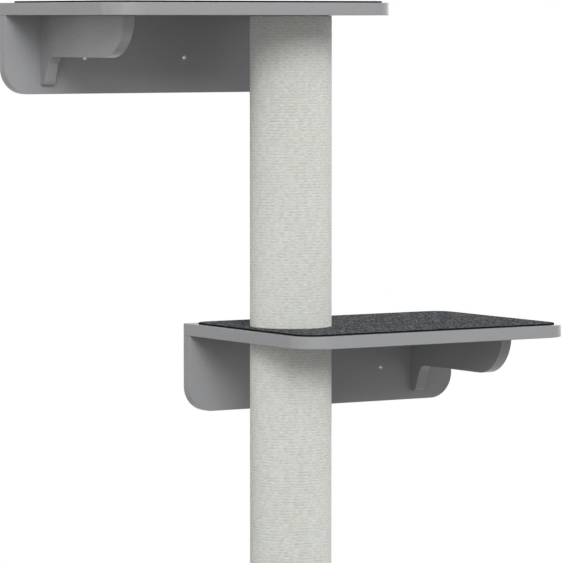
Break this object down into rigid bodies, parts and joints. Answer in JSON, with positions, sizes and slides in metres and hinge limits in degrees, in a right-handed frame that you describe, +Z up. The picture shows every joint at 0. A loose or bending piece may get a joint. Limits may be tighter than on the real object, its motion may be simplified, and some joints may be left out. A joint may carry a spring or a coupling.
{
  "type": "wall mounted cat tree",
  "caption": "Wall mounted cat tree: felt-topped shelves step left and right up a sisal post, each hung on a back board with a rounded side bracket.",
  "frame": {"origin": "on the wall, midway between the middle shelf's wall screw holes", "axes": "+X to the right along the wall, +Y into the wall, +Z up"},
  "size_m": [0.654, 0.28, 0.906],
  "materials": {
    "board": "satin grey foil on fibreboard",
    "felt": "heathered needle felt",
    "sisal": "woven bleached sisal",
    "paperboard": "matt spiral-wound paperboard",
    "plain_wood": "plain beech",
    "steel": "zinc plated",
    "zinc": "die-cast zinc"
  },
  "bodies": {
    "root": {"top_shelf_board": "board", "top_back_board": "board", "top_side_bracket": "board", "top_mat": "felt", "top_cam_locks": "zinc", "top_cam_bolts": "steel", "top_dowels": "plain_wood", "top_bracket_screws": "steel", "middle_shelf_board": "board", "middle_back_board": "board", "middle_side_bracket": "board", "middle_mat": "felt", "middle_cam_locks": "zinc", "middle_cam_bolts": "steel", "middle_dowels": "plain_wood", "middle_bracket_screws": "steel", "bottom_shelf_board": "board", "bottom_back_board": "board", "bottom_side_bracket": "board", "bottom_mat": "felt", "bottom_cam_locks": "zinc", "bottom_cam_bolts": "steel", "bottom_dowels": "plain_wood", "bottom_bracket_screws": "steel", "upper_core_tube": "paperboard", "upper_sisal_wrap": "sisal", "upper_post_plugs": "plain_wood", "lower_core_tube": "paperboard", "lower_sisal_wrap": "sisal", "lower_post_plugs": "plain_wood", "post_inserts": "zinc", "top_post_bolt": "steel", "middle_post_stud": "steel", "bottom_post_bolt": "steel", "bottom_post_washer": "steel"}
  },
  "joints": []
}
